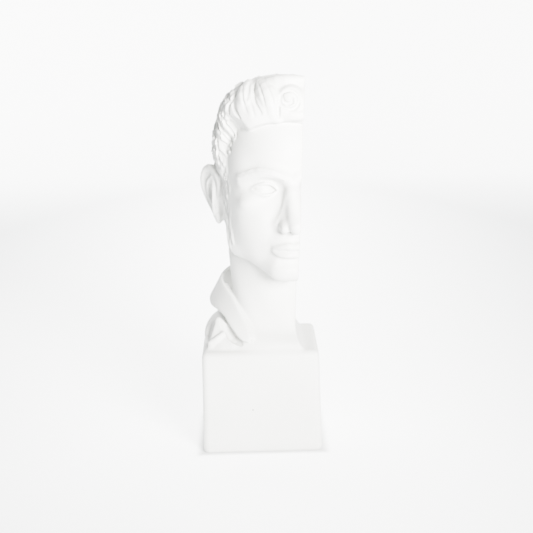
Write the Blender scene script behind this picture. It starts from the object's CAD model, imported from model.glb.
import math
import bpy
import bmesh
import numpy as np
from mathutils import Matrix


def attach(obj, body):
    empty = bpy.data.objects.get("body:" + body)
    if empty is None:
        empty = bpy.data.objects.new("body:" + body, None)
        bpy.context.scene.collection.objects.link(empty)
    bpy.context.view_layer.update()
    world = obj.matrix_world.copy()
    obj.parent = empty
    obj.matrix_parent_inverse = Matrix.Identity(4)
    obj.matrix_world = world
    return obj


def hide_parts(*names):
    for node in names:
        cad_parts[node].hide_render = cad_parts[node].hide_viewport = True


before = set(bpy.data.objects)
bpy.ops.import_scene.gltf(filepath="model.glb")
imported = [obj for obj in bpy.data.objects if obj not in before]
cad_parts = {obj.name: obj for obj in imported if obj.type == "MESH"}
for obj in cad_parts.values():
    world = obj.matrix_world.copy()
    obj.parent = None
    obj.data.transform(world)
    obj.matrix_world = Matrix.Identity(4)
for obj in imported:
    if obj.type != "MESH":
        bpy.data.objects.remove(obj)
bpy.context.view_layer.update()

import openvdb
from mathutils import Matrix, Vector


# Shader helpers
class Wire:
    # One output socket, so that shader maths reads as a plain expression
    def __init__(self, look, socket):
        self.look = look
        self.socket = socket

    def work(self, operation, a, b):
        return self.look.add("ShaderNodeMath", {"operation": operation}, {0: a, 1: b})

    def __add__(self, other):
        return self.work("ADD", self, other)

    def __radd__(self, other):
        return self.work("ADD", other, self)

    def __sub__(self, other):
        return self.work("SUBTRACT", self, other)

    def __rsub__(self, other):
        return self.work("SUBTRACT", other, self)

    def __mul__(self, other):
        return self.work("MULTIPLY", self, other)

    def __rmul__(self, other):
        return self.work("MULTIPLY", other, self)

    def most(self, other):
        return self.work("MAXIMUM", self, other)


class Look:
    # One material and its nodes
    def __init__(self, name):
        self.material = bpy.data.materials.new(name)
        self.material.use_nodes = True
        self.tree = self.material.node_tree
        self.tree.nodes.clear()

    def add(self, kind, settings=None, inputs=None, output=0):
        # Adds a node: settings come first, then each socket takes its value or a Wire
        node = self.tree.nodes.new(kind)
        for name, value in (settings or {}).items():
            if name == "stops":
                stops = node.color_ramp.elements
                while len(stops) < len(value):
                    stops.new(1.0)
                for stop, (at, shade) in zip(stops, value):
                    stop.position = at
                    stop.color = (shade, shade, shade, 1.0)
            else:
                setattr(node, name, value)
        for name, value in (inputs or {}).items():
            if isinstance(value, Wire):
                self.tree.links.new(value.socket, node.inputs[name])
            else:
                node.inputs[name].default_value = value
        return Wire(self, node.outputs[output]) if node.outputs else None

    def mix(self, share, first, second):
        # The colour sockets share their names with others, so they go by number
        return self.add("ShaderNodeMix", {"data_type": "RGBA"}, {0: share, 6: first, 7: second}, 2)

    def fade(self, value, start, end, low=0.0, high=1.0):
        return self.add("ShaderNodeMapRange", {"interpolation_type": "SMOOTHSTEP"},
                        {0: value, 1: start, 2: end, 3: low, 4: high})

    def finish(self, inputs):
        skin = self.add("ShaderNodeBsdfPrincipled", {}, inputs)
        self.add("ShaderNodeOutputMaterial", {}, {"Surface": skin})
        return self.material


# Camera, in the photograph's frame of 533 by 533 pixels
view = {
    "pixels": 533,
    "focalPixels": 1207.0,
    "sensor": 36.0,
    "clip": (0.01, 50.0),
    "raised": 11.5,
    "swung": 0.4,
    "rolled": -1.45,
    "away": 0.9559,
    "target": (0.00656, 0.0, 0.13756),
}


def makeCamera():
    data = bpy.data.cameras.new("camera")
    data.sensor_width = view["sensor"]
    data.sensor_fit = "HORIZONTAL"
    data.lens = view["focalPixels"] * data.sensor_width / view["pixels"]
    data.clip_start, data.clip_end = view["clip"]
    camera = bpy.data.objects.new("camera", data)
    bpy.context.scene.collection.objects.link(camera)
    raised = math.radians(view["raised"])
    swung = math.radians(view["swung"])
    rolled = math.radians(view["rolled"])
    share = math.cos(raised)
    back = Vector((-math.sin(swung) * share, -math.cos(swung) * share, math.sin(raised)))
    level = (-back).cross(Vector((0, 0, 1))).normalized()
    upright = level.cross(-back)
    right = level * math.cos(rolled) + upright * math.sin(rolled)
    up = upright * math.cos(rolled) - level * math.sin(rolled)
    place = Vector(view["target"]) + back * view["away"]
    turn = Matrix((right, up, back)).transposed().to_4x4()
    camera.matrix_world = Matrix.Translation(place) @ turn
    bpy.context.scene.camera = camera


# Pale floor that curves up behind, and soft light
studio = {
    "floorHalf": 3.0,
    "backAt": 1.6,
    "backHeight": 3.2,
    "curve": 0.9,
    "curveSteps": 16,
    "paper": (0.86, 0.875, 0.88, 1.0),
    "paperRoughness": 0.9,
    "glowAround": (1.0, 1.0, 0.985, 1.0),
    "glowAside": (0.17, 0.178, 0.183, 1.0),
    "glowUnder": (0.02, 0.02, 0.02, 1.0),
    "glowStrength": 8.4,
    "glowReach": (0.5, 2.2),
    "glowMiddle": 0.85,
    "glowFar": (0.5, 2.4),
    "contact": (0.0455, 0.054),
    "worldColor": (0.93, 0.96, 1.0, 1.0),
    "worldStrength": 0.15,
    "keyPlace": (0.34, -0.8, 0.38),
    "keyAim": (0, 0, 0.28),
    "keySize": 0.32,
    "keySpread": 56.0,
    "keyPower": 13.0,
    "keyColor": (1.0, 0.985, 0.96),
}


def floorPaper():
    # The paper glows around and far behind the bust, and less at the sides
    look = Look("floorPaper")
    coords = look.add("ShaderNodeTexCoord", output="Object")
    across, along = studio["glowReach"]
    spread = look.add("ShaderNodeVectorMath", {"operation": "MULTIPLY_ADD"},
                      {0: coords, 1: (1 / across, 1 / along, 0), 2: (0, -studio["glowMiddle"] / along, 0)})
    near = look.add("ShaderNodeTexGradient", {"gradient_type": "SPHERICAL"}, {"Vector": spread}, "Fac")
    depth = look.add("ShaderNodeSeparateXYZ", {}, {"Vector": coords}, "Y")
    far = look.fade(depth, *studio["glowFar"])
    glow = look.mix(near.most(far), studio["glowAside"], studio["glowAround"])
    # Under the plinth and just beside it the paper lies in shade
    away = look.add("ShaderNodeVectorMath", {"operation": "ABSOLUTE"}, {0: coords})
    aside = look.add("ShaderNodeSeparateXYZ", {}, {"Vector": away}, "X")
    ahead = look.add("ShaderNodeSeparateXYZ", {}, {"Vector": away}, "Y")
    clear = look.fade(aside.most(ahead), *studio["contact"])
    return look.finish({
        "Base Color": studio["paper"],
        "Roughness": studio["paperRoughness"],
        "Emission Color": look.mix(clear, studio["glowUnder"], glow),
        "Emission Strength": studio["glowStrength"],
    })


def makeStudio():
    half, backAt, curve = studio["floorHalf"], studio["backAt"], studio["curve"]
    steps = studio["curveSteps"]
    profile = [(-half, 0.0), (backAt, 0.0)]
    for i in range(1, steps + 1):
        turn = math.pi / 2 * i / steps
        profile.append((backAt + curve * math.sin(turn), curve * (1 - math.cos(turn))))
    profile.append((backAt + curve, studio["backHeight"]))
    bm = bmesh.new()
    corners = [bm.verts.new((-half, y, z)) for y, z in profile]
    edges = [bm.edges.new(pair) for pair in zip(corners, corners[1:])]
    made = bmesh.ops.extrude_edge_only(bm, edges=edges)["geom"]
    moved = [item for item in made if isinstance(item, bmesh.types.BMVert)]
    bmesh.ops.translate(bm, verts=moved, vec=(2 * half, 0, 0))
    bmesh.ops.recalc_face_normals(bm, faces=bm.faces)
    for face in bm.faces:
        face.smooth = True
    mesh = bpy.data.meshes.new("floor")
    bm.to_mesh(mesh)
    bm.free()
    mesh.materials.append(floorPaper())
    floor = bpy.data.objects.new("floor", mesh)
    bpy.context.scene.collection.objects.link(floor)


def makeLight():
    world = bpy.data.worlds.new("world")
    world.use_nodes = True
    sky = world.node_tree.nodes["Background"]
    sky.inputs["Color"].default_value = studio["worldColor"]
    sky.inputs["Strength"].default_value = studio["worldStrength"]
    bpy.context.scene.world = world

    data = bpy.data.lights.new("key", "AREA")
    data.shape = "SQUARE"
    data.size = studio["keySize"]
    data.spread = math.radians(studio["keySpread"])
    data.energy = studio["keyPower"]
    data.color = studio["keyColor"]
    lamp = bpy.data.objects.new("key", data)
    bpy.context.scene.collection.objects.link(lamp)
    lamp.location = studio["keyPlace"]
    aim = Vector(studio["keyAim"]) - Vector(studio["keyPlace"])
    lamp.rotation_euler = aim.to_track_quat("-Z", "Y").to_euler()


# The bust is modelled like clay: forms are added and carved, each blended into the last.
# Their places are side, front and up in shares of the head's height. Values here are metres and
# degrees, except that headAside and cutAside are shares of the plinth's width, earIn and the widths
# of strokes and grooves are shares of the head's height, coveCurve is a power and faces a count.
# strokeSwing, strokeLength and strokeWidth hold a middle value and how far it wobbles.
bust = {
    "plinthWidth": 0.092,
    "plinthDepth": 0.092,
    "plinthHeight": 0.080,
    "plinthDraft": 0.0009,
    "plinthEdge": 0.0045,
    "baseRounding": [(0.0022, 0), (0.0012, 0.0002), (0.0005, 0.0006), (0.0001, 0.0012), (0.0, 0.0020)],
    "headHeight": 0.142,
    "headAside": 0.13,
    "chinRise": 0.055,
    "headTurn": 13.0,
    "headLean": 2.0,
    "earFlare": 13.0,
    "earIn": 0.038,
    "cutAside": 0.29,
    "cutLean": 3.1,
    "cutEdge": 0.0009,
    "coveWidth": 0.007,
    "coveHeight": 0.020,
    "coveCurve": 2.6,
    "foot": 0.003,
    "strokeApart": 8.0,
    "strokeSwing": (-3, 10),
    "strokeLength": (14, 4),
    "strokeWidth": (0.028, 0.006),
    "grooveWidth": 0.0095,
    "burnApart": 4.6,
    "burnWidth": 0.012,
    "burnGrooveWidth": 0.008,
    "browWidth": 0.0085,
    "grain": 0.00068,
    "faces": 194000,
}
headOffset = bust["headAside"] * bust["plinthWidth"]
cutOffset = bust["cutAside"] * bust["plinthWidth"]
chinHeight = bust["plinthHeight"] + bust["chinRise"]
headHeight = bust["headHeight"]


def place(point):
    side, front, up = point
    return np.array([side, -front, up], np.float32)


def smoothMin(a, b, blend):
    if blend <= 0:
        return np.minimum(a, b)
    overlap = np.maximum(blend - np.abs(a - b), 0) / blend
    return np.minimum(a, b) - overlap * overlap * (blend * 0.25)


class Form:
    def __init__(self, distance, points, thickness, blend):
        corners = np.array([place(point) for point in points])
        self.distance = distance
        self.centre = (corners.min(0) + corners.max(0)) / 2
        reach = np.linalg.norm(corners - self.centre, axis=1).max() + thickness
        self.reach = float(reach) * 1.15 + 2 * blend + 0.02
        self.blend = blend
        self.carved = False
        self.mirrored = False
        self.frame = "head"


def egg(at, radii, blend=0.0, turn=(0, 0, 0)):
    centre = place(at)
    size = np.array(radii, np.float32)
    alongSide, alongFront, alongUp = (math.radians(angle) for angle in turn)
    spin = Matrix.Rotation(alongUp, 3, "Z") @ Matrix.Rotation(alongFront, 3, "Y")
    spin = np.array(spin @ Matrix.Rotation(alongSide, 3, "X"), np.float32)

    def distance(points):
        scaled = (points - centre) @ spin / size
        near = np.sqrt((scaled * scaled).sum(1)) + 1e-9
        steep = scaled / size
        return near * (near - 1) / (np.sqrt((steep * steep).sum(1)) + 1e-9)

    return Form(distance, [at], max(radii), blend)


def rod(start, end, startRadius, endRadius, blend=0.0):
    a = place(start)
    along = place(end) - a
    reach = float(along @ along) + 1e-12

    def distance(points):
        away = points - a
        t = np.clip(away @ along / reach, 0, 1)
        away = away - t[:, None] * along
        return np.sqrt((away * away).sum(1)) - (startRadius + (endRadius - startRadius) * t)

    return Form(distance, [start, end], max(startRadius, endRadius), blend)


def curveThrough(points, steps):
    stops = [np.array(point, float) for point in points]
    stops = [2 * stops[0] - stops[1]] + stops + [2 * stops[-1] - stops[-2]]
    spans = len(stops) - 3
    curve = []
    for i in range(steps + 1):
        span = min(int(i / steps * spans), spans - 1)
        t = i / steps * spans - span
        a, b, c, d = stops[span:span + 4]
        bend = 2 * a - 5 * b + 4 * c - d
        twist = 3 * b - a - 3 * c + d
        curve.append(0.5 * (2 * b + (c - a) * t + bend * t ** 2 + twist * t ** 3))
    return curve


def strand(points, radii, blend=0.0, steps=8):
    curve = curveThrough(points, steps)
    thickness = np.interp(np.linspace(0, 1, steps + 1), np.linspace(0, 1, len(radii)), radii)
    rods = [rod(curve[i], curve[i + 1], thickness[i], thickness[i + 1]) for i in range(steps)]

    def distance(points):
        near = rods[0].distance(points)
        for piece in rods[1:]:
            near = np.minimum(near, piece.distance(points))
        return near

    return Form(distance, curve, max(radii), blend)


def plate(first, second, third, thickness, blend=0.0):
    corners = [place(first), place(second), place(third)]
    normal = np.cross(corners[1] - corners[0], corners[2] - corners[0])
    normal = normal / np.linalg.norm(normal)

    def distance(points):
        nearest = None
        inside = np.ones(len(points), bool)
        for i in range(3):
            start = corners[i]
            along = corners[(i + 1) % 3] - start
            away = points - start
            inside &= away @ np.cross(normal, along) >= 0
            t = np.clip(away @ along / (along @ along), 0, 1)
            away = away - t[:, None] * along
            square = (away * away).sum(1)
            nearest = square if nearest is None else np.minimum(nearest, square)
        level = (points - corners[0]) @ normal
        return np.sqrt(np.where(inside, level * level, nearest)) - thickness

    return Form(distance, [first, second, third], thickness, blend)


def almond(at, half, above, below, tilt, depth, slope, blend):
    centre = place(at)
    topRadius = (half ** 2 + above ** 2) / (2 * above)
    lowRadius = (half ** 2 + below ** 2) / (2 * below)
    cosine, sine = math.cos(math.radians(tilt)), math.sin(math.radians(tilt))

    def distance(points):
        x = points[:, 0] - centre[0]
        z = points[:, 2] - centre[2]
        across = x * cosine + z * sine
        upward = z * cosine - x * sine
        top = np.hypot(across, upward - (above - topRadius)) - topRadius
        low = np.hypot(across, upward + (below - lowRadius)) - lowRadius
        return np.maximum(np.maximum(top, low), points[:, 1] + depth - slope * x)

    return Form(distance, [at], half * 1.5, blend)


def carve(form):
    form.carved = True
    return form


def mirror(form):
    form.mirrored = True
    return form


def inFrame(frameName, forms):
    for form in forms:
        form.frame = frameName
    return forms


def faceForms():
    skull = [
        egg([0, -0.105, 0.655], [0.315, 0.325, 0.325], 0.004),
        egg([0, 0.085, 0.665], [0.272, 0.31, 0.3], 0.004),
        egg([0, 0.14, 0.43], [0.235, 0.235, 0.23], 0.1),
        egg([0, 0.15, 0.23], [0.18, 0.205, 0.175], 0.08),
        egg([0, 0.285, 0.215], [0.12, 0.138, 0.115], 0.07),
        egg([0, 0.338, 0.074], [0.08, 0.074, 0.068], 0.05),
    ]
    cheeks = [
        egg([0.165, 0.225, 0.42], [0.085, 0.11, 0.06], 0.07, [0, 12, 35]),
        rod([0.205, 0.17, 0.435], [0.255, -0.01, 0.45], 0.035, 0.03, 0.07),
        egg([0.19, 0.1, 0.56], [0.075, 0.16, 0.12], 0.08),
        rod([0.055, 0.325, 0.07], [0.2, 0.085, 0.165], 0.052, 0.048, 0.06),
        rod([0.2, 0.08, 0.165], [0.232, -0.005, 0.4], 0.05, 0.048, 0.06),
        egg([0.125, 0.185, 0.27], [0.095, 0.125, 0.15], 0.07, [0, 10, 30]),
        egg([0.175, 0.09, 0.31], [0.085, 0.15, 0.17], 0.08),
        egg([0.11, 0.25, 0.3], [0.075, 0.09, 0.11], 0.06),
    ]
    ball = [0.132, 0.288, 0.492]
    eyes = [
        strand([[0.02, 0.378, 0.548], [0.09, 0.372, 0.572], [0.165, 0.33, 0.575], [0.235, 0.245, 0.535]],
               [0.026, 0.028, 0.024, 0.02], 0.045),
        carve(egg([0.118, 0.425, 0.497], [0.085, 0.1, 0.05], 0.045, [0, 0, 12])),
        egg(ball, [0.064, 0.061, 0.057], 0.022),
        strand([[0.07, 0.335, 0.492], [0.1, 0.352, 0.522], [0.14, 0.352, 0.529], [0.175, 0.328, 0.516],
                [0.2, 0.292, 0.493]], [0.006, 0.009, 0.01, 0.009, 0.006], 0.008, 10),
        strand([[0.075, 0.338, 0.486], [0.11, 0.348, 0.47], [0.15, 0.342, 0.467], [0.192, 0.3, 0.487]],
               [0.005, 0.008, 0.008, 0.005], 0.01),
        carve(almond([0.133, 0.35, 0.492], 0.062, 0.027, 0.018, 3, 0.306, 0.26, 0.004)),
        egg(ball, [0.0545, 0.0545, 0.0545], 0.002),
        carve(strand([[0.075, 0.35, 0.512], [0.11, 0.368, 0.542], [0.15, 0.36, 0.546], [0.2, 0.315, 0.522]],
                     [0.004, 0.007, 0.007, 0.004], 0.012)),
    ]
    nose = [
        rod([0, 0.376, 0.52], [0, 0.458, 0.36], 0.024, 0.03, 0.045),
        egg([0, 0.48, 0.318], [0.04, 0.042, 0.037], 0.035),
        mirror(egg([0.046, 0.43, 0.303], [0.028, 0.045, 0.032], 0.02, [0, 0, 18])),
        mirror(plate([0.01, 0.41, 0.48], [0.01, 0.45, 0.34], [0.065, 0.375, 0.32], 0.014, 0.05)),
        rod([0, 0.425, 0.277], [0, 0.49, 0.295], 0.012, 0.014, 0.015),
        mirror(carve(egg([0.027, 0.448, 0.272], [0.014, 0.028, 0.015], 0.008, [0, 0, 15]))),
        mirror(carve(strand([[0.078, 0.405, 0.34], [0.083, 0.395, 0.305], [0.072, 0.4, 0.28]],
                            [0.004, 0.006, 0.004], 0.014, 5))),
    ]
    mouth = [
        mirror(strand([[0, 0.424, 0.199], [0.025, 0.424, 0.204], [0.065, 0.402, 0.197], [0.108, 0.355, 0.18]],
                      [0.019, 0.021, 0.015, 0.006], 0.012)),
        mirror(strand([[0, 0.418, 0.154], [0.03, 0.414, 0.154], [0.065, 0.394, 0.16], [0.104, 0.355, 0.177]],
                      [0.024, 0.023, 0.017, 0.006], 0.015)),
        mirror(carve(strand([[0, 0.452, 0.181], [0.02, 0.449, 0.177], [0.06, 0.425, 0.178],
                             [0.11, 0.368, 0.179]], [0.006, 0.007, 0.007, 0.005], 0.01))),
        mirror(carve(egg([0.118, 0.362, 0.178], [0.012, 0.014, 0.014], 0.02))),
        carve(rod([0, 0.452, 0.262], [0, 0.458, 0.222], 0.01, 0.013, 0.02)),
        mirror(carve(rod([0, 0.436, 0.115], [0.06, 0.41, 0.113], 0.02, 0.012, 0.04))),
    ]
    for form in cheeks + eyes:
        form.mirrored = True
    return inFrame("face", skull + cheeks + eyes + nose + mouth)


def lock(points, width, blend=0.006, steps=7):
    return strand(points, [width * share for share in (0.6, 0.9, 1, 0.8, 0.2)], blend, steps)


def hairForms():
    # The mass of hair ends in a ledge over the forehead and temple, where it is carved back
    mass = [
        egg([0, -0.04, 0.7], [0.318, 0.38, 0.33]),
        egg([-0.02, 0.1, 0.865], [0.25, 0.27, 0.2], 0.05),
        egg([0.09, 0.19, 0.93], [0.19, 0.19, 0.14], 0.05),
        egg([0.0, -0.14, 0.32], [0.23, 0.21, 0.27], 0.16),
    ]
    front = [
        lock([[-0.06, 0.24, 1.03], [0.06, 0.3, 1.052], [0.24, 0.29, 1.058]], 0.036, 0.03),
        lock([[-0.14, 0.13, 1.0], [0.0, 0.2, 1.035], [0.2, 0.21, 1.045]], 0.045, 0.04),
        lock([[-0.08, 0.03, 1.0], [0.08, 0.1, 1.02], [0.26, 0.12, 1.02]], 0.05, 0.05),
        lock([[-0.04, 0.24, 1.03], [0.0, 0.315, 0.965], [0.03, 0.33, 0.862]], 0.066, 0.006),
        lock([[-0.105, 0.19, 1.025], [-0.115, 0.265, 0.955], [-0.09, 0.305, 0.85]], 0.062, 0.006),
        lock([[-0.165, 0.14, 1.0], [-0.175, 0.215, 0.935], [-0.16, 0.262, 0.84]], 0.05, 0.006),
        lock([[-0.21, 0.07, 0.965], [-0.218, 0.15, 0.9], [-0.205, 0.2, 0.81]], 0.046, 0.006),
        lock([[0.05, 0.34, 0.885], [0.12, 0.35, 0.88], [0.24, 0.34, 0.885]], 0.034, 0.008),
        egg([0.105, 0.33, 0.972], [0.066, 0.052, 0.066], 0.008),
        carve(egg([0.1, 0.44, 0.6], [0.5, 0.3, 0.26], 0.008)),
        carve(egg([-0.27, 0.33, 0.7], [0.18, 0.2, 0.2], 0.02)),
        carve(egg([-0.27, 0.33, 0.53], [0.18, 0.2, 0.2], 0.02)),
        lock([[-0.15, 0.2, 0.98], [-0.145, 0.28, 0.92], [-0.112, 0.322, 0.855]], 0.036, 0.012),
        lock([[-0.105, 0.3, 0.93], [-0.095, 0.325, 0.88], [-0.062, 0.338, 0.838]], 0.03, 0.015),
        lock([[0.0, 0.33, 0.93], [0.015, 0.35, 0.88], [0.05, 0.358, 0.848]], 0.028, 0.015),
    ]
    return inFrame("head", mass + front)


def earForms():
    rim = curveThrough([[-0.33, -0.03, 0.43], [-0.322, 0.015, 0.45], [-0.328, 0.015, 0.53],
                        [-0.35, -0.04, 0.575], [-0.373, -0.105, 0.562], [-0.384, -0.138, 0.5],
                        [-0.374, -0.128, 0.43], [-0.35, -0.09, 0.36], [-0.33, -0.05, 0.31]], 16)
    web = [plate([-0.312, -0.045, 0.44], start, end, 0.011, 0.004) for start, end in zip(rim, rim[1:])]
    return inFrame("ear", web + [
        egg([-0.335, -0.06, 0.435], [0.018, 0.07, 0.13], 0.004, [-14, 0, -20]),
        egg([-0.3, -0.035, 0.43], [0.05, 0.05, 0.1], 0.03),
        egg([-0.29, -0.05, 0.53], [0.055, 0.06, 0.07], 0.03),
        egg([-0.28, -0.03, 0.335], [0.055, 0.032, 0.055], 0.025),
        strand(rim, [0.01, 0.014, 0.017, 0.019, 0.018, 0.017, 0.015, 0.014, 0.016], 0.006, 18),
        egg([-0.322, -0.03, 0.305], [0.022, 0.034, 0.042], 0.02, [-14, 0, -15]),
        strand([[-0.352, -0.035, 0.525], [-0.362, -0.08, 0.5], [-0.362, -0.095, 0.44],
                [-0.345, -0.065, 0.375], [-0.335, -0.02, 0.35]],
               [0.01, 0.013, 0.014, 0.013, 0.012], 0.01, 10),
        carve(egg([-0.372, -0.04, 0.435], [0.042, 0.037, 0.06], 0.01, [-10, 0, 0])),
        egg([-0.318, 0.012, 0.425], [0.02, 0.016, 0.028], 0.012),
    ])


def chestForms():
    return inFrame("chest", [
        rod([0.085, -0.03, -0.1], [0.085, -0.02, 0.52], 0.235, 0.225, 0.012),
        rod([0.085, -0.09, 0.0], [0.07, -0.135, 0.62], 0.18, 0.17, 0.08),
        egg([0.03, 0.0, -0.04], [0.3, 0.295, 0.2], 0.08),
        rod([0.19, 0.19, 0.03], [0.07, 0.0, 0.45], 0.04, 0.04, 0.08),
        rod([-0.02, 0.19, 0.03], [-0.1, -0.03, 0.5], 0.035, 0.045, 0.08),
        egg([-0.17, -0.03, 0.0], [0.13, 0.24, 0.175], 0.07, [-8, 0, 0]),
        egg([0.03, -0.12, -0.03], [0.27, 0.18, 0.19], 0.08),
        rod([-0.23, -0.15, 0.04], [-0.25, 0.1, 0.05], 0.055, 0.05, 0.06),
        rod([-0.2, 0.22, 0.01], [0.2, 0.25, 0.0], 0.045, 0.045, 0.06),
    ])


def collarForms():
    steps = 60
    thickness = 0.011
    fold = curveThrough([[0.22, -0.29, 0.35], [0.02, -0.3, 0.37], [-0.13, -0.25, 0.37],
                         [-0.195, -0.165, 0.345], [-0.208, -0.08, 0.318], [-0.184, 0.01, 0.29],
                         [-0.15, 0.09, 0.252], [-0.118, 0.16, 0.2], [-0.085, 0.22, 0.14],
                         [-0.066, 0.26, 0.095], [-0.058, 0.275, 0.072]], steps)
    hem = curveThrough([[0.24, -0.34, 0.16], [0.02, -0.345, 0.17], [-0.16, -0.3, 0.2],
                        [-0.25, -0.21, 0.215], [-0.272, -0.12, 0.215], [-0.262, -0.03, 0.195],
                        [-0.232, 0.05, 0.19], [-0.19, 0.13, 0.17], [-0.148, 0.215, 0.122],
                        [-0.102, 0.268, 0.072], [-0.064, 0.284, 0.056]], steps)
    leaf = []
    rows = [[top + (low - top) * share for top, low in zip(fold, hem)] for share in (0, 0.34, 0.67, 1)]
    for top, low in zip(rows, rows[1:]):
        for i in range(steps):
            leaf.append(plate(top[i], top[i + 1], low[i], thickness))
            leaf.append(plate(top[i + 1], low[i + 1], low[i], thickness))
    # A band inside the leaf closes the gap to the neck from the ear forward
    inside = [np.array(spot) + [0.02, -0.012, -0.012] for spot in fold[27:]]
    shirt = [
        plate([-0.225, 0.16, 0.14], [-0.275, 0.235, 0.0], [-0.15, 0.25, 0.02], 0.016, 0.02),
        plate([-0.225, 0.16, 0.14], [-0.17, 0.19, 0.12], [-0.15, 0.25, 0.02], 0.014, 0.02),
        carve(strand([[-0.262, 0.03, 0.235], [-0.275, 0.08, 0.165], [-0.285, 0.125, 0.1],
                      [-0.292, 0.16, 0.04]], [0.012, 0.022, 0.02, 0.01], 0.02)),
        carve(strand([[-0.2, 0.17, 0.155], [-0.175, 0.21, 0.11], [-0.14, 0.24, 0.068],
                      [-0.108, 0.27, 0.038]], [0.014, 0.032, 0.034, 0.014], 0.01)),
        strand([[-0.2, 0.225, 0.085], [-0.235, 0.24, 0.06], [-0.268, 0.24, 0.035]],
               [0.012, 0.016, 0.018], 0.016),
        carve(strand([[-0.195, 0.262, 0.06], [-0.225, 0.275, 0.035], [-0.262, 0.275, 0.01]],
                     [0.005, 0.009, 0.005], 0.01)),
        strand(inside, [0.016, 0.018, 0.016], 0.006, 14),
    ]
    return inFrame("chest", shirt + leaf)


def turnedFrame(origin, turn, lean):
    spin = Matrix.Rotation(math.radians(turn), 3, "Z") @ Matrix.Rotation(math.radians(lean), 3, "Y")
    return np.array(origin), np.array(spin)


def earFrame():
    # The ear stands out from the head like an open door
    hinge = place([-0.3, 0.02, 0])
    origin, spin = turnedFrame([headOffset, 0, chinHeight], bust["earFlare"], 0)
    return origin + (hinge - spin @ hinge + place([bust["earIn"], 0, 0])) * headHeight, spin


frames = {
    "face": turnedFrame([headOffset, 0, chinHeight], bust["headTurn"], bust["headLean"]),
    "head": turnedFrame([headOffset, 0, chinHeight], 0, 0),
    "ear": earFrame(),
    "chest": turnedFrame([0, 0, bust["plinthHeight"]], 0, 0),
}


def formBoxes(form):
    origin, spin = frames[form.frame]
    centres = [form.centre]
    if form.mirrored:
        centres.append(form.centre * np.array([-1, 1, 1]))
    boxes = []
    for centre in centres:
        middle = origin + spin @ centre * headHeight
        reach = form.reach * headHeight
        boxes.append((middle - reach, middle + reach))
    if len(boxes) == 2 and (boxes[0][0] < boxes[1][1]).all() and (boxes[1][0] < boxes[0][1]).all():
        boxes = [(np.minimum(boxes[0][0], boxes[1][0]), np.maximum(boxes[0][1], boxes[1][1]))]
    return boxes


# A block of clay: how far each place of a grid lies outside the surface, in shares of the head
class Clay:
    def __init__(self, low, high, grain):
        self.low = np.array(low)
        self.grain = grain
        self.axes = [np.arange(low[i], high[i], grain) for i in range(3)]
        self.field = np.full([len(axis) for axis in self.axes], 10.0, np.float32)

    def sculpt(self, forms):
        limit = np.array(self.field.shape)
        for form in forms:
            origin, spin = frames[form.frame]
            for start, end in formBoxes(form):
                a = np.clip(np.floor((start - self.low) / self.grain).astype(int), 0, limit)
                b = np.clip(np.ceil((end - self.low) / self.grain).astype(int) + 1, 0, limit)
                if (b <= a).any():
                    continue
                window = tuple(slice(*pair) for pair in zip(a, b))
                grid = np.meshgrid(*(axis[part] for axis, part in zip(self.axes, window)), indexing="ij")
                points = np.stack([values.ravel() for values in grid], 1)
                points = ((points - origin) @ spin / headHeight).astype(np.float32)
                if form.mirrored:
                    points[:, 0] = np.abs(points[:, 0])
                near = form.distance(points).reshape(grid[0].shape)
                if form.carved:
                    self.field[window] = -smoothMin(-self.field[window], near, form.blend)
                else:
                    self.field[window] = smoothMin(self.field[window], near, form.blend)

    def outermost(self, centre, way, reach=0.7):
        # Walks in from outside and gives the skin's distance from the centre, in head shares
        middle = place(centre) * headHeight + frames["head"][0]
        found = np.full(len(way), 0.02)
        waiting = np.ones(len(way), bool)
        limit = np.array(self.field.shape) - 1
        for step in np.arange(reach, 0.02, -0.5 * self.grain / headHeight):
            spot = middle + way * step * headHeight
            index = np.clip(np.round((spot - self.low) / self.grain).astype(int), 0, limit)
            here = self.field[index[:, 0], index[:, 1], index[:, 2]]
            met = waiting & (here < 0)
            found[met] = step - here[met]
            waiting &= ~met
        return found

    def ontoSkin(self, centre, points, lift):
        # Slides places along rays from the centre until they lie on the skin
        away = np.array(points) - np.array(centre)
        away = away / np.linalg.norm(away, axis=1)[:, None]
        reach = self.outermost(centre, away * np.array([1, -1, 1])) + lift
        return np.array(centre) + away * reach[:, None]


# Rays from this middle of the head carry the strokes onto the skin. A stroke follows given places
# or starts at an angle around and down from straight above.
crown = (0.0, -0.03, 0.6)
strokeShares = np.linspace(0, 1, 4)


def fromCrown(around, down):
    turn, fall = np.radians(around), np.radians(down)
    return np.stack([crown[0] - np.sin(turn) * np.sin(fall), crown[1] + np.cos(turn) * np.sin(fall),
                     crown[2] + np.cos(fall)], 1)


def sweep(around, down, swing, length):
    return fromCrown(around + swing * strokeShares, down + length * strokeShares)


def makeStroke(points, width, lift, blend, carved=False):
    return {"points": points, "width": width, "lift": lift, "blend": blend, "carved": carved}


def strokesOn(clay, strokes):
    # A stroke lies on the skin, raised as a lock or cut as a groove
    points = [stroke["points"] for stroke in strokes]
    lifts = [np.interp(strokeShares, [0, 0.5, 1], stroke["lift"]) for stroke in strokes]
    spots = clay.ontoSkin(crown, np.concatenate(points), np.concatenate(lifts))
    forms = []
    for stroke, line in zip(strokes, spots.reshape(len(strokes), len(strokeShares), 3)):
        radii = [stroke["width"] * part for part in (0.6, 0.9, 1, 0.7)]
        form = strand(list(line), radii, stroke["blend"], 4)
        form.carved = stroke["carved"]
        forms.append(form)
    return inFrame("head", forms)


def wobble(seed):
    return math.sin(12.9898 * seed) * math.sin(78.233 * seed + 1.3)


def vary(value, seed):
    middle, change = value
    return middle + change * wobble(seed)


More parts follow.
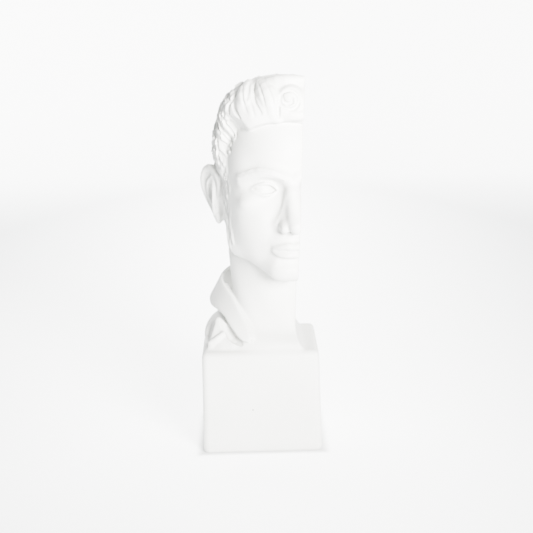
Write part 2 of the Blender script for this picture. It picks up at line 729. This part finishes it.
def shortHair():
    raised, grooves = [], []
    for row, down in enumerate(np.arange(1.0, 140.0, 8.0)):
        hairline = float(np.interp(down, [9, 12, 32, 50, 62, 80, 92, 125, 140],
                                   [-30, 34, 36, 46, 55, 60, 92, 110, 130]))
        end = float(np.interp(down, [9, 12, 24, 30, 40, 60], [330, 300, 300, 245, 228, 212]))
        fade = float(np.interp(down, [0, 112, 140], [1, 1, 0.3]))
        spread = 1 / max(0.3, math.sin(math.radians(min(down, 90))))
        count = max(5, int((end - hairline) / (bust["strokeApart"] * spread)))
        for i in range(count):
            seed = i + 31 * row
            around = hairline + (end - hairline) * (i + 0.5 * (row % 2)) / count
            start = down + 3 * wobble(seed + 0.2)
            swing = vary(bust["strokeSwing"], seed) * spread
            length = vary(bust["strokeLength"], seed + 0.5)
            width = vary(bust["strokeWidth"], seed + 0.7)
            lift = [-width, 0.008 * fade - width, 0.013 * fade - width]
            raised.append(makeStroke(sweep(around, start, swing, length), width, lift, 0.002))
            for side in (-0.8, 0.35):
                below = start + 2 + 2 * wobble(seed + side)
                points = sweep(around + side * 3 * spread, below, swing, length - 3)
                grooves.append(makeStroke(points, bust["grooveWidth"], [0.001, -0.006, 0.0], 0.003, True))
    return raised, grooves


def quiffGrooves():
    # Fine grooves run along the swept-up locks, deeper creases part them and ring the curl
    runs = [
        [[-0.03, 0.3, 1.04], [0.01, 0.37, 0.97], [0.02, 0.37, 0.88]],
        [[-0.06, 0.27, 1.03], [-0.04, 0.34, 0.97], [-0.02, 0.36, 0.88]],
        [[-0.1, 0.25, 1.02], [-0.1, 0.32, 0.95], [-0.08, 0.35, 0.87]],
        [[-0.13, 0.23, 1.01], [-0.135, 0.3, 0.94], [-0.11, 0.33, 0.87]],
        [[-0.17, 0.17, 1.0], [-0.175, 0.25, 0.93], [-0.155, 0.29, 0.86]],
        [[-0.2, 0.13, 0.98], [-0.205, 0.22, 0.91], [-0.19, 0.26, 0.84]],
        [[-0.23, 0.1, 0.94], [-0.235, 0.17, 0.88], [-0.22, 0.21, 0.8]],
        [[-0.1, 0.17, 1.07], [0.02, 0.235, 1.09], [0.2, 0.25, 1.1]],
        [[-0.06, 0.12, 1.08], [0.07, 0.17, 1.09], [0.2, 0.18, 1.1]],
        [[-0.05, 0.05, 1.08], [0.08, 0.1, 1.09], [0.2, 0.12, 1.1]],
    ]
    creases = [
        [[-0.081, 0.27, 1.075], [-0.085, 0.32, 1.0], [-0.083, 0.338, 0.963], [-0.05, 0.373, 0.9]],
        [[-0.105, 0.24, 1.06], [-0.112, 0.29, 0.99], [-0.115, 0.31, 0.95]],
        [[-0.19, 0.25, 0.95], [-0.177, 0.268, 0.9], [-0.148, 0.296, 0.85]],
        [[0.044, 0.38, 0.96], [0.04, 0.385, 0.92], [0.044, 0.39, 0.885]],
        [[-0.01, 0.26, 1.07], [0.08, 0.28, 1.075], [0.17, 0.27, 1.07]],
    ]

    def aroundCurl(turn, wide, high):
        return [0.101 + wide * math.cos(turn), 0.38, 0.968 + high * math.sin(turn)]

    for start in (0, 120, 240):
        creases.append([aroundCurl(math.radians(start + 40 * i), 0.053, 0.054) for i in range(4)])
    coil = [0.045 - 0.011 * i for i in range(4)]
    creases.append([aroundCurl(math.radians(150 + 70 * i), reach, reach) for i, reach in enumerate(coil)])
    fine = [makeStroke(curveThrough(run, 3), 0.008, [0.004, 0.001, 0.003], 0.005, True) for run in runs]
    deep = [makeStroke(curveThrough(run, 3), 0.0105, [0.0, -0.006, -0.002], 0.005, True) for run in creases]
    return fine + deep


def brow():
    # An eyebrow of the builder's own design, two rows of short strokes that lean outwards
    _, spin = frames["face"]
    line = curveThrough([[0.035, 0.405, 0.562], [0.1, 0.398, 0.59], [0.165, 0.355, 0.592],
                         [0.232, 0.265, 0.553]], 13)
    raised = []
    for i, spot in enumerate(line):
        lean = 0.012 + 0.0012 * i
        for rise in (-0.008, 0.008):
            ends = [spot + np.array([-0.2 * lean, 0, rise - 0.006]), spot + np.array([lean, 0, rise]),
                    spot + np.array([2 * lean, -0.01, rise + 0.004 - 0.0008 * i])]
            path = [place(spin @ place([-end[0], end[1], end[2]])) for end in ends]
            points = curveThrough(path, 3)
            raised.append(makeStroke(points, bust["browWidth"], [-0.008, -0.004, -0.006], 0.004))
    return raised


def sideburn():
    raised, grooves = [], []
    for row, down in enumerate(np.arange(82.0, 142.0, 8.0)):
        front = float(np.interp(down, [82, 100, 142], [54, 47, 46]))
        back = float(np.interp(down, [82, 105, 142], [78, 75, 68]))
        for i, around in enumerate(np.arange(front, back, bust["burnApart"])):
            seed = i + 17 * row + 400
            turn = around + 1.5 * wobble(seed)
            start = down + 3 * wobble(seed + 0.4)
            points = sweep(turn, start, 2 * wobble(seed + 0.6), 10 + 3 * wobble(seed + 0.1))
            raised.append(makeStroke(points, bust["burnWidth"], [-0.009, -0.005, -0.006], 0.004))
            points = sweep(turn + 2.3, start + 1, 2 * wobble(seed + 0.9), 8 + 3 * wobble(seed + 0.3))
            grooves.append(makeStroke(points, bust["burnGrooveWidth"], [0.002, -0.004, 0.002], 0.004, True))
    return raised, grooves


def plinthField(clay):
    x, y, z = np.meshgrid(*clay.axes, indexing="ij", sparse=True)
    draft = bust["plinthDraft"] / bust["plinthHeight"] * z
    edge = bust["plinthEdge"]
    sideways = np.abs(x) - (bust["plinthWidth"] / 2 - draft) + edge
    endways = np.abs(y) - (bust["plinthDepth"] / 2 - draft) + edge
    upward = z - bust["plinthHeight"] + edge
    outside = np.sqrt(np.maximum(sideways, 0) ** 2 + np.maximum(endways, 0) ** 2 + np.maximum(upward, 0) ** 2)
    inside = np.minimum(np.maximum(np.maximum(sideways, endways), upward), 0)
    return ((outside + inside - edge) / headHeight).astype(np.float32)


def sliceField(clay):
    # The cut leans a little and flares out in a hollow foot above the plinth
    x, _, z = np.meshgrid(*clay.axes, indexing="ij", sparse=True)
    lean = math.radians(bust["cutLean"])
    rise = z - bust["plinthHeight"]
    foot = bust["coveWidth"] * (1 - np.clip(rise / bust["coveHeight"], 0, 1)) ** bust["coveCurve"]
    away = (x - cutOffset - foot) * math.cos(lean) - rise * math.sin(lean)
    return (away / headHeight).astype(np.float32)


def shapeClay():
    low, high = [-0.052, -0.080, 0.068], [0.050, 0.070, 0.296]
    clay = Clay(low, high, bust["grain"])
    clay.sculpt(hairForms() + faceForms())
    raised, grooves = shortHair()
    burnRaised, burnGrooves = sideburn()
    clay.sculpt(strokesOn(clay, raised + burnRaised + brow()))
    clay.sculpt(strokesOn(clay, grooves + burnGrooves + quiffGrooves()))
    print("hair carved")
    clay.sculpt(earForms() + chestForms() + collarForms())
    field = -smoothMin(-clay.field, -sliceField(clay), bust["cutEdge"] / headHeight)
    clay.field = smoothMin(field, plinthField(clay), bust["foot"] / headHeight) * headHeight
    print("clay field", clay.field.shape)
    return clay


def makeBust():
    clay = shapeClay()
    depth = 0.003  # how far from the skin the field keeps its values
    volume = openvdb.FloatGrid(background=depth)
    volume.copyFromArray(np.clip(clay.field, -depth, depth).astype(np.float32))
    points, quads = volume.convertToQuads(isovalue=0.0)
    mesh = bpy.data.meshes.new("halfBust")
    mesh.from_pydata((points * clay.grain + clay.low).tolist(), [], quads.tolist())
    print("skin", len(quads), "faces")

    bm = bmesh.new()
    bm.from_mesh(mesh)
    bmesh.ops.recalc_face_normals(bm, faces=bm.faces)
    bm.to_mesh(mesh)
    bm.free()
    piece = bpy.data.objects.new("halfBust", mesh)
    bpy.context.scene.collection.objects.link(piece)
    if 2 * len(quads) > bust["faces"]:
        thin = piece.modifiers.new("thin", "DECIMATE")
        thin.ratio = bust["faces"] / (2 * len(quads))
    thinned = piece.evaluated_get(bpy.context.evaluated_depsgraph_get())
    finished = bpy.data.meshes.new_from_object(thinned)
    piece.modifiers.clear()
    piece.data = finished
    print("thinned to", len(finished.polygons))
    smoothCollar(finished)
    growPlinth(finished)
    return piece


def smoothCollar(mesh):
    # Evens out the back of the collar leaf, well away from the cut
    low, high, behind, aside = 0.086, 0.137, -0.012, 0.022
    rounds = 6
    bm = bmesh.new()
    bm.from_mesh(mesh)
    spots = [v for v in bm.verts if low < v.co.z < high and v.co.y > behind and v.co.x < aside]
    for _ in range(rounds):
        bmesh.ops.smooth_vert(bm, verts=spots, factor=0.5, use_axis_x=True, use_axis_y=True, use_axis_z=True)
    bm.to_mesh(mesh)
    bm.free()


def growPlinth(mesh):
    # The plinth's walls go straight down from the top that was modelled with the bust
    modelled, middle = 0.009, 0.04  # how much wall came with the bust, and a level halfway
    split = bust["plinthHeight"] - modelled
    draft = bust["plinthDraft"] / bust["plinthHeight"]
    half = bust["plinthWidth"] / 2
    bm = bmesh.new()
    bm.from_mesh(mesh)
    bmesh.ops.bisect_plane(bm, geom=bm.verts[:] + bm.edges[:] + bm.faces[:], dist=1e-6,
                           plane_co=(0, 0, split), plane_no=(0, 0, -1), clear_outer=True)
    rim = [edge for edge in bm.edges if edge.is_boundary]
    width = half - draft * split
    height = split
    for level, inset in [(middle, 0)] + bust["baseRounding"]:
        made = bmesh.ops.extrude_edge_only(bm, edges=rim)["geom"]
        corners = [item for item in made if isinstance(item, bmesh.types.BMVert)]
        rim = [item for item in made if isinstance(item, bmesh.types.BMEdge)]
        target = half - draft * level - inset
        bmesh.ops.scale(bm, verts=corners, vec=(target / width, target / width, 1))
        bmesh.ops.translate(bm, verts=corners, vec=(0, 0, level - height))
        width, height = target, level
    bmesh.ops.contextual_create(bm, geom=rim)
    bmesh.ops.recalc_face_normals(bm, faces=bm.faces)
    lean = math.radians(bust["cutLean"])
    flatness, margin = 0.9994, 0.0005
    cutFace = [Vector((math.cos(lean), 0, -math.sin(lean)))]
    plinthFaces = [Vector((1, 0, 0)), Vector((0, 1, 0)), Vector((0, 0, 1))]
    for face in bm.faces:
        onPlinth = face.calc_center_median().z < bust["plinthHeight"] + margin
        flats = cutFace + plinthFaces if onPlinth else cutFace
        face.smooth = max(abs(face.normal.dot(flat)) for flat in flats) < flatness
    bm.to_mesh(mesh)
    bm.free()
    print("plinth walls added", len(mesh.polygons))


# White plaster, sealed to a soft satin
plasterLook = {
    "color": (0.67, 0.673, 0.648, 1.0),
    "stainColor": (0.63, 0.634, 0.606, 1.0),
    "stainScale": 24.0,
    "stainStops": [(0.35, 0.0), (0.75, 1.0)],
    "pinhole": (-0.007, -0.0456, 0.0341),
    "pinholeSize": 0.0009,
    "pinholeColor": (0.04, 0.038, 0.034, 1.0),
    "roughness": 0.52,
    "roughnessChange": 0.1,
    "broadScale": 60.0,
    "broadBump": 0.6,
    "fineScale": 900.0,
    "fineBump": 0.12,
    "bumpStrength": 0.25,
    "bumpDepth": 0.0006,
}


def plasterMaterial():
    look = Look("whitePlaster")
    coords = look.add("ShaderNodeTexCoord", output="Object")

    def noise(scale, detail):
        return look.add("ShaderNodeTexNoise", {}, {"Vector": coords, "Scale": scale, "Detail": detail})

    broad = noise(plasterLook["broadScale"], 3.0)
    fine = noise(plasterLook["fineScale"], 4.0)
    stain = noise(plasterLook["stainScale"], 4.0)
    share = look.add("ShaderNodeValToRGB", {"stops": plasterLook["stainStops"]}, {"Fac": stain})
    tint = look.mix(share, plasterLook["color"], plasterLook["stainColor"])
    away = look.add("ShaderNodeVectorMath", {"operation": "DISTANCE"},
                    {0: coords, 1: plasterLook["pinhole"]}, "Value")
    size = plasterLook["pinholeSize"]
    pit = look.fade(away, 0.3 * size, size, 1.0, 0.0)
    height = broad * plasterLook["broadBump"] + fine * plasterLook["fineBump"] - pit
    bump = look.add("ShaderNodeBump", {}, {
        "Height": height,
        "Strength": plasterLook["bumpStrength"],
        "Distance": plasterLook["bumpDepth"],
    })
    return look.finish({
        "Base Color": look.mix(pit, tint, plasterLook["pinholeColor"]),
        "Roughness": plasterLook["roughness"] + plasterLook["roughnessChange"] * broad,
        "Normal": bump,
    })


makeCamera()
makeStudio()
makeLight()
print("camera, floor and light set")
piece = makeBust()
piece.data.materials.clear()
piece.data.materials.append(plasterMaterial())
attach(piece, "root")
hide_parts("half_bust")
print("bust finished")
